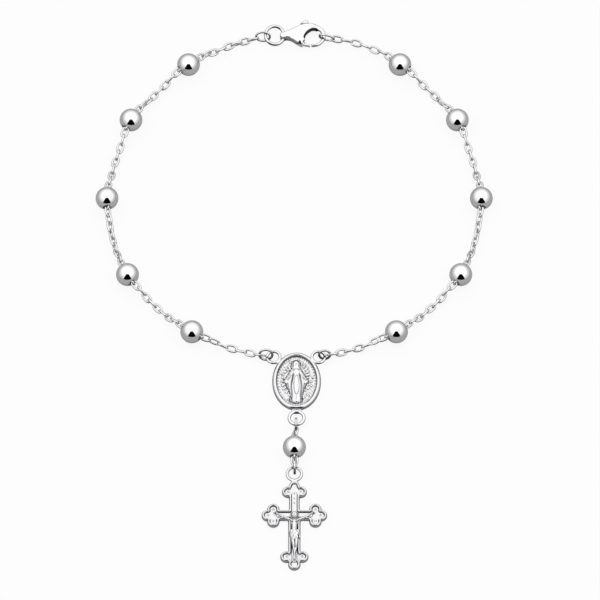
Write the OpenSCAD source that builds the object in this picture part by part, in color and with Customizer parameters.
// Rosary bracelet: ten round beads on a fine link chain, an oval medal that
// joins the two halves of the loop, and a short drop with one bead and a
// trefoil crucifix. It lies flat, as on a table. Millimetres, +Z up.
// The origin is the middle of the bead ring, on the surface it lies on.

/* [Beads] */
// Diameter of every bead
bead_d = 4.0; // [3.8:0.05:4.1]
// Diameter of the hole through a bead
bead_bore_d = 1.44; // [1.4:0.02:1.7]
// Wall of the hollow bead
bead_wall = 0.35; // [0.2:0.05:0.8]

/* [Chain] */
// Outer width of the chain, links on edge and links flat together
chain_d = 1.28; // [0.8:0.02:1.3]
// Height of the chain's middle where it lies on the surface
chain_lie = 0.68; // [0.66:0.01:0.9]
// Wire of the single jump rings
ring_wire = 0.42; // [0.3:0.01:0.44]

/* [Medal] */
// Width of the oval, without its eyelets
medal_w = 8.45; // [8.2:0.05:8.6]
// Height of the oval, without its eyelets
medal_h = 11.35; // [11:0.05:11.4]
// Height of the medal's rim above its back
medal_t = 1.05; // [1:0.05:1.4]
// Width of the raised rim
medal_rim = 0.72; // [0.4:0.02:1]
// Height of the sunk field above the back
medal_field = 0.7; // [0.5:0.05:0.85]

/* [Crucifix] */
// Height of the rim above the back
cross_t = 0.95; // [0.85:0.05:1.3]
// Height of the sunk field above the back
cross_field = 0.6; // [0.5:0.05:0.75]
// Width of the raised border
cross_rim = 0.42; // [0.2:0.02:0.5]
// Radius of one round bud of the trefoil ends
bud_r = 1.07; // [1:0.01:1.12]

/* [Clasp] */
// Thickness of the clasp's body
clasp_t = 1.5; // [1.45:0.05:1.6]
// Thickness of the hook where a link goes round it
hook_t = 0.6; // [0.5:0.05:0.65]
// Thickness of the lever inside its slot
lever_t = 0.5; // [0.4:0.02:0.56]
// Diameter of the lever's pivot pin
pin_d = 0.5; // [0.4:0.02:0.56]

/* [Hidden] */

silver = [0.84, 0.84, 0.86];
bead_z = bead_d / 2;

// One row for each bead of a half loop, counted from the medal:
// [angle from the front, distance from the middle of the ring]
BEADS = [[33.1, 32.5], [61.5, 33.0], [89.4, 32.7], [118.6, 32.6], [145.4, 32.75]];

// One row for each stretch of chain of a half loop, from the medal to the clasp:
// [start angle, start distance, end angle, end distance, outward bow]
function stretches(clasp_end) = [
  [clasp_end[4], 31.85, BEADS[0][0], BEADS[0][1], -0.35],
  [BEADS[0][0], BEADS[0][1], BEADS[1][0], BEADS[1][1], -0.55],
  [BEADS[1][0], BEADS[1][1], BEADS[2][0], BEADS[2][1], -0.25],
  [BEADS[2][0], BEADS[2][1], BEADS[3][0], BEADS[3][1], -0.38],
  [BEADS[3][0], BEADS[3][1], BEADS[4][0], BEADS[4][1], -0.05],
  [BEADS[4][0], BEADS[4][1], clasp_end[0], clasp_end[1], clasp_end[2]]];

// Where each half of the chain ends at the clasp: [angle, distance, bow, height],
// then the angle where it starts at its medal ring
END_LEFT = [167.6, 33.6, 0.25, 0.9, 11.3];
END_RIGHT = [167.1, 33.7, 0.65, 0.9, 11.75];
medal_end_z = 1.0;

// Medal
medal_c = [0.43, -36.28];
eye_left = [-4.0, 4.7];      // side eyelets, from the medal's middle
eye_right = [3.78, 4.7];
eye_side_r = 1.12;
eye_side_w = 0.5;
eye_foot = [0, -7.42];       // lower eyelet, from the medal's middle
eye_foot_r = 1.28;
eye_foot_w = 0.55;
eye_z = 0.75;

// Drop bead and its rings
drop_c = [0.05, -50.15];
upper_ring_c = [0.32, -45.13, 1.17];
upper_ring_r = 0.95;
lower_ring_c = [0.1, -53.72, 1.37];
lower_ring_r = 1.14;

// Crucifix
cross_x = 0.05;
arm_y = -62.82;
arm_lobe = 3.62;
top_lobe_y = -58.2;
foot_lobe_y = -70.93;
cross_ring_y = -54.77;
cross_ring_r = 1.25;
cross_ring_w = 0.5;

// Clasp
claw_c = [3.3, 33.62];
claw_r = 2.26;
mouth_c = [3.23, 33.45];
mouth_r = 1.66;
tail_c = [-1.9, 33.5];
pivot = [1.05, 32.5];
clasp_ring_c = [-3.44, 33.6, 0.965];
clasp_ring_r = 1.64;
clasp_ring_w = 0.56;
clasp_ring_tilt = [17, 6.5];
lever_z = clasp_t / 2;

// ---------- helpers ----------
function polar(a, r) = [-r * sin(a), -r * cos(a)];
function unit(v) = v / norm(v);
function smooth(t) = let (u = min(1, max(0, t))) u * u * (3 - 2 * u);

// Height of the chain at s mm from the middle of the bead it leaves
function sag(s) = chain_lie + (bead_z - chain_lie) * (1 - smooth((s - 2.1) / 3.9));

// A point of stretch q at share t, with heights from the ends that are beads
function span_point(q, t, from_bead, to_bead, z0, z1) =
  let (a = q[0] + (q[2] - q[0]) * t,
       r = q[1] + (q[3] - q[1]) * t + 4 * q[4] * t * (1 - t),
       len = abs(q[2] - q[0]) * PI / 180 * q[1],
       h0 = from_bead ? sag(t * len) : chain_lie + (z0 - chain_lie) * (1 - smooth(t * len / 3)),
       h1 = to_bead ? sag((1 - t) * len) : chain_lie + (z1 - chain_lie) * (1 - smooth((1 - t) * len / 3)),
       p = polar(a, r))
  [p[0], p[1], max(h0, h1)];

// The three points of the straight stretch inside a bead
function bead_points(i) =
  let (a = BEADS[i][0], r = BEADS[i][1], p = polar(a, r), t = [-cos(a), sin(a)])
  [for (s = [-2.05, 0, 2.05]) [p[0] + t[0] * s, p[1] + t[1] * s, bead_z]];

// Whole route of a half loop, from the medal to the clasp
function half_route(e) =
  let (S = stretches(e))
  [for (i = [0 : 5])
    let (first = i == 0, last = i == 5,
         len = abs(S[i][2] - S[i][0]) * PI / 180 * S[i][1],
         n = 7,
         t0 = first ? 0 : 3.3 / len, t1 = last ? 1 : 1 - 3.3 / len)
    each concat(
      [for (k = [0 : n]) span_point(S[i], t0 + (t1 - t0) * k / n, !first, !last, medal_end_z, e[3])],
      last ? [] : bead_points(i))];

// Route of the short chain through the drop bead, from the medal down
drop_route = [[0.3, -46.5, 1.2], [0.25, -47.3, 1.65], [0.15, -48.1, 1.97],
  [0.05, -49, 2], [0.05, -51.2, 2], [0.05, -52.2, 2]];

// A round tube of eight sides along the points P
module tube(P, d) {
  n = len(P);
  m = 8;
  function tan_at(i) = unit(P[min(i + 1, n - 1)] - P[max(i - 1, 0)]);
  function side_at(i) = unit(cross(tan_at(i), [0, 0, 1]));
  pts = [for (i = [0 : n - 1])
    let (s = side_at(i), u = cross(s, tan_at(i)))
    for (k = [0 : m - 1])
      let (a = 360 * (k + 0.5) / m) P[i] + d / 2 * (cos(a) * s + sin(a) * u)];
  sides = [for (i = [0 : n - 2], k = [0 : m - 1])
    let (a = i * m + k, b = i * m + (k + 1) % m)
    each [[a, b, b + m], [a, b + m, a + m]]];
  polyhedron(points = pts, faces = concat(sides,
    [[for (k = [m - 1 : -1 : 0]) k]],
    [[for (k = [0 : m - 1]) (n - 1) * m + k]]), convexity = 6);
}

// A closed ring of round wire: r to the wire's middle, w the wire's diameter
module ring(r, w) {
  rotate_extrude($fn = 48) translate([r, 0]) circle(d = w, $fn = 24);
}

// A long link of round wire, its length along X
module long_link(l, b, w) {
  r = (b - w) / 2;
  h = (l - b) / 2;
  for (s = [0, 1]) rotate([0, 0, 180 * s]) {
    translate([h, 0, 0]) rotate([0, 0, -90])
      rotate_extrude(angle = 180, $fn = 48) translate([r, 0]) circle(d = w, $fn = 24);
    translate([-h, r, 0]) rotate([0, 90, 0]) cylinder(d = w, h = 2 * h, $fn = 24);
  }
}

// A rod with round ends between two points
module rod(a, b, r) {
  v = b - a;
  translate(a) rotate([0, acos(v[2] / norm(v)), atan2(v[1], v[0])])
    cylinder(r = r, h = norm(v), $fn = 24);
  translate(a) sphere(r = r, $fn = 24);
  translate(b) sphere(r = r, $fn = 24);
}

// ---------- beads ----------
module bead(p, a) {
  color(silver) translate([p[0], p[1], bead_z]) rotate([0, 0, -a]) rotate([0, 90, 0])
    rotate_extrude($fn = 64) difference() {
      circle(d = bead_d, $fn = 96);
      circle(d = bead_d - 2 * bead_wall, $fn = 96);
      translate([-bead_d, -bead_d]) square([bead_d + bead_bore_d / 2, 2 * bead_d]);
    }
}
module bead_left(i) { bead(polar(BEADS[i][0], BEADS[i][1]), BEADS[i][0]); }
module bead_right(i) { mirror([1, 0, 0]) bead(polar(BEADS[i][0], BEADS[i][1]), BEADS[i][0]); }
module bead_drop() { bead(drop_c, 90); }

// ---------- chain ----------
module chain_left() { color(silver) tube(half_route(END_LEFT), chain_d); }
module chain_right() { color(silver) mirror([1, 0, 0]) tube(half_route(END_RIGHT), chain_d); }
module chain_drop() { color(silver) tube(drop_route, 1.2); }

// ---------- medal ----------
function oval(w, h, n) = [for (i = [0 : n - 1]) [w / 2 * cos(360 * i / n), h / 2 * sin(360 * i / n)]];

// The robed figure in low relief, as simple rounded forms
module figure() {
  translate([0, -4.15, 0.45]) rotate([-90, 0, 0]) cylinder(r1 = 0.62, r2 = 0.5, h = 5.6, $fn = 32);
  translate([0, 2.75, 0.5]) sphere(r = 0.52, $fn = 32);
  for (s = [-1, 1]) rod([0.35 * s, 1.2, 0.7], [1.85 * s, -0.1, 0.66], 0.3);
  translate([-0.9, -4.55, 0.4]) cube([1.8, 0.45, 0.52]);
}

module medal() {
  color(silver) translate([medal_c[0], medal_c[1], 0]) {
    difference() {
      union() {
        linear_extrude(medal_t) polygon(oval(medal_w, medal_h, 64));
        // necks that join the eyelets to the rim
        translate([-0.45, -6.4, 0.45]) cube([0.9, 1.4, 0.6]);
        for (p = [eye_left, eye_right]) translate([p[0], p[1], 0])
          rotate([0, 0, atan2(-p[1], -p[0])])
            translate([eye_side_r - 0.1, -0.45, 0.5]) cube([0.8, 0.9, 0.5]);
      }
      translate([0, 0, medal_field]) linear_extrude(medal_t)
        polygon(oval(medal_w - 2 * medal_rim, medal_h - 2 * medal_rim, 64));
    }
    figure();
    for (p = [eye_left, eye_right]) translate([p[0], p[1], eye_z]) ring(eye_side_r, eye_side_w);
    translate([eye_foot[0], eye_foot[1], eye_z]) ring(eye_foot_r, eye_foot_w);
  }
}
module medal_ring(x, y, z, r) {
  color(silver) translate([medal_c[0] + x, y, z]) rotate([70, 0, 0]) ring(r, ring_wire);
}
module medal_ring_left() { medal_ring(-5.33, -31.4, 1.28, 1.12); }
module medal_ring_right() { medal_ring(4.85, -31.3, 1.118, 0.95); }

// ---------- drop ----------
module drop_ring_upper() {
  color(silver) translate(upper_ring_c) rotate([0, 90, 0]) ring(upper_ring_r, ring_wire);
}
module drop_ring_lower() {
  color(silver) translate(lower_ring_c) rotate([0, 90, 0]) ring(lower_ring_r, ring_wire);
}

// ---------- crucifix ----------
// Outline of the cross, drawn in by the distance d
module cross_outline(d) {
  r = bud_r - d;
  // stem and arms
  translate([-0.92 + d, foot_lobe_y]) square([1.84 - 2 * d, top_lobe_y - foot_lobe_y]);
  translate([-1.06 + d, foot_lobe_y]) square([2.12 - 2 * d, arm_y - foot_lobe_y]);
  translate([-arm_lobe, arm_y - 0.95 + d]) square([2 * arm_lobe, 1.95 - 2 * d]);
  // the two arms' ends
  for (s = [-1, 1]) translate([s * arm_lobe, arm_y]) {
    translate([s * 0.96, 0]) circle(r = r, $fn = 32);
    for (t = [-1, 1]) translate([0, 1.2 * t]) circle(r = r, $fn = 32);
    circle(r = 1.1 - d, $fn = 32);
  }
  // foot end
  translate([0, foot_lobe_y]) {
    for (s = [-1, 1]) translate([1.36 * s, 0]) circle(r = r, $fn = 32);
    translate([0, -1.5]) circle(r = r, $fn = 32);
    circle(r = 1.4 - d, $fn = 32);
  }
  // top end, drawn up to a point under the ring
  translate([0, top_lobe_y]) {
    for (s = [-1, 1]) translate([1.08 * s, 0]) circle(r = r, $fn = 32);
    polygon([[-1.5 + d, 0], [1.5 - d, 0], [0.6 - d * 0.6, 2.0 - d * 2], [-0.6 + d * 0.6, 2.0 - d * 2]]);
  }
}

// The figure on the cross, as simple rounded forms
module corpus() {
  z = cross_field;
  translate([0, -62.95, z + 0.45]) sphere(r = 0.5, $fn = 24);
  for (s = [-1, 1]) rod([0.45 * s, -63.9, z + 0.25], [3.4 * s, -62.5, z + 0.2], 0.28);
  rod([0, -64.1, z + 0.2], [0, -66.1, z + 0.2], 0.52);
  translate([0, -66.85, z + 0.15]) sphere(r = 0.75, $fn = 24);
  for (s = [-1, 1]) rod([0.3 * s, -67.5, z + 0.15], [0.12 * s, -71.5, z + 0.1], 0.36);
  rod([0, -58.8, z - 0.1], [0, -62.3, z - 0.1], 0.45);
}

module crucifix() {
  color(silver) translate([cross_x, 0, 0]) {
    difference() {
      linear_extrude(cross_t) cross_outline(0);
      translate([0, 0, cross_field]) linear_extrude(cross_t) cross_outline(cross_rim);
    }
    corpus();
    translate([0, cross_ring_y, eye_z]) ring(cross_ring_r, cross_ring_w);
    translate([-0.45, -56.9, 0.4]) cube([0.9, 0.7, 0.5]);
  }
}

// ---------- clasp ----------
module clasp_outline() {
  translate(tail_c) circle(r = 0.6, $fn = 32);
  polygon([[-1.9, 34.1], [-1.5, 34.3], [-0.74, 34.6], [0.14, 35.12], [1.02, 35.6],
    [1.72, 35.82], [2.43, 35.88], [3.3, 35.88], [3.3, 33.6], [1.6, 31.48], [1.02, 31.72],
    [0.49, 32.05], [-0.22, 32.6], [-0.74, 32.9], [-1.4, 33.0], [-1.9, 32.9]]);
  translate(claw_c) circle(r = claw_r, $fn = 64);
}

// Space the lever needs between the two cheeks of the body
module lever_slot() {
  polygon([[2.0, 30.5], [1.0, 30.5], [0.5, 31.9], [0.4, 32.4], [-0.12, 33.5], [-0.2, 34.5],
    [-0.2, 37], [2.6, 37], [2.45, 36.0], [2.1, 35.3], [1.42, 34.15], [1.52, 33.1], [2.0, 33.1]]);
}

module clasp_body() {
  color(silver) difference() {
    union() {
      // cheeks and tail
      linear_extrude(clasp_t) intersection() {
        clasp_outline();
        translate([-4, 28]) square([7.6, 10]);
      }
      // hook, with its long edges set back
      translate([0, 0, lever_z - hook_t / 2 + 0.15]) linear_extrude(hook_t - 0.3) clasp_outline();
      translate([0, 0, lever_z - hook_t / 2]) linear_extrude(hook_t) difference() {
        translate(claw_c) circle(r = claw_r - 0.15, $fn = 64);
        translate(mouth_c) circle(r = mouth_r + 0.15, $fn = 64);
      }
    }
    // the opening inside the hook, with a full lip on the body's side
    translate([0, 0, -1]) linear_extrude(clasp_t + 2) difference() {
      translate(mouth_c) circle(r = mouth_r, $fn = 64);
      polygon([[1.2, 32.75], [1.7, 32.8], [1.95, 33.3], [2.25, 33.7], [2.7, 34.05], [3.3, 34.25], [3.3, 36], [1.2, 36]]);
    }
    // the mouth that the lever closes
    translate([0, 0, -1]) linear_extrude(clasp_t + 2)
      polygon([[3.02, 32.4], [3.02, 29], [1.2, 29], [1.42, 31.6], [1.62, 32.4]]);
    translate([0, 0, lever_z - lever_t / 2 - 0.05]) linear_extrude(lever_t + 0.1) lever_slot();
    translate([pivot[0], pivot[1], -1]) cylinder(d = pin_d + 0.02, h = clasp_t + 2, $fn = 32);
    // the eye in the tail, along the ring's wire
    translate([-1.87, 33.6, 0.78]) rotate([clasp_ring_tilt[0] - 90, 0, 0])
      cylinder(d = 0.84, h = 6, center = true, $fn = 32);
  }
}

module clasp_pin() {
  color(silver) translate([pivot[0], pivot[1], 0.02]) cylinder(d = pin_d, h = clasp_t - 0.04, $fn = 32);
}

module clasp_lever() {
  color(silver) difference() {
    union() {
      translate([0, 0, lever_z - lever_t / 2]) linear_extrude(lever_t) {
        translate(pivot) circle(r = 0.42, $fn = 32);
        hull() { translate(pivot) circle(r = 0.4, $fn = 32); translate([1.0, 34.1]) circle(r = 0.28, $fn = 32); }
        hull() { translate([1.0, 34.1]) circle(r = 0.28, $fn = 32); translate([1.7, 35.4]) circle(r = 0.28, $fn = 32); }
        hull() { translate([1.7, 35.4]) circle(r = 0.28, $fn = 32); translate([2.08, 36.3]) circle(r = 0.3, $fn = 32); }
        hull() { translate(pivot) circle(r = 0.4, $fn = 32); translate([1.8, 31.78]) circle(r = 0.22, $fn = 32); }
      }
      // the nose that closes the mouth, and the thumb piece
      translate([0, 0, lever_z - 0.3]) linear_extrude(0.6) hull() {
        translate([1.8, 31.75]) circle(r = 0.2, $fn = 32);
        translate([2.62, 31.56]) circle(r = 0.2, $fn = 32);
      }
      translate([0, 0, lever_z - 0.4]) linear_extrude(0.8) hull() {
        translate([2.08, 36.38]) circle(r = 0.42, $fn = 32);
        translate([1.3, 36.1]) circle(r = 0.2, $fn = 32);
      }
    }
    translate([pivot[0], pivot[1], -1]) cylinder(d = pin_d + 0.06, h = clasp_t + 2, $fn = 32);
  }
}

module clasp_ring() {
  color(silver) translate(clasp_ring_c) rotate([clasp_ring_tilt[0], clasp_ring_tilt[1], 0]) ring(clasp_ring_r, clasp_ring_w);
}

// Oval link between the clasp's ring and the left chain
module ring_link() {
  color(silver) translate([-5.5, 33.32, 1.02]) rotate([60, 0, 0]) long_link(2.8, 2.1, 0.38);
}

// Long link that the hook holds, at the end of the right chain
module end_link() {
  color(silver) translate([5.72, 33.15, 0.97]) rotate([0, 0, -15]) rotate([90, 0, 0]) long_link(2.95, 1.9, 0.38);
}

medal();
crucifix();
bead_left(0);  // bead_left_1
bead_left(1);  // bead_left_2
bead_left(2);  // bead_left_3
bead_left(3);  // bead_left_4
bead_left(4);  // bead_left_5
bead_right(0);  // bead_right_1
bead_right(1);  // bead_right_2
bead_right(2);  // bead_right_3
bead_right(3);  // bead_right_4
bead_right(4);  // bead_right_5
bead_drop();
chain_left();
chain_right();
chain_drop();
clasp_body();
clasp_pin();
clasp_lever();
clasp_ring();
ring_link();
end_link();
medal_ring_left();
medal_ring_right();
drop_ring_upper();
drop_ring_lower();
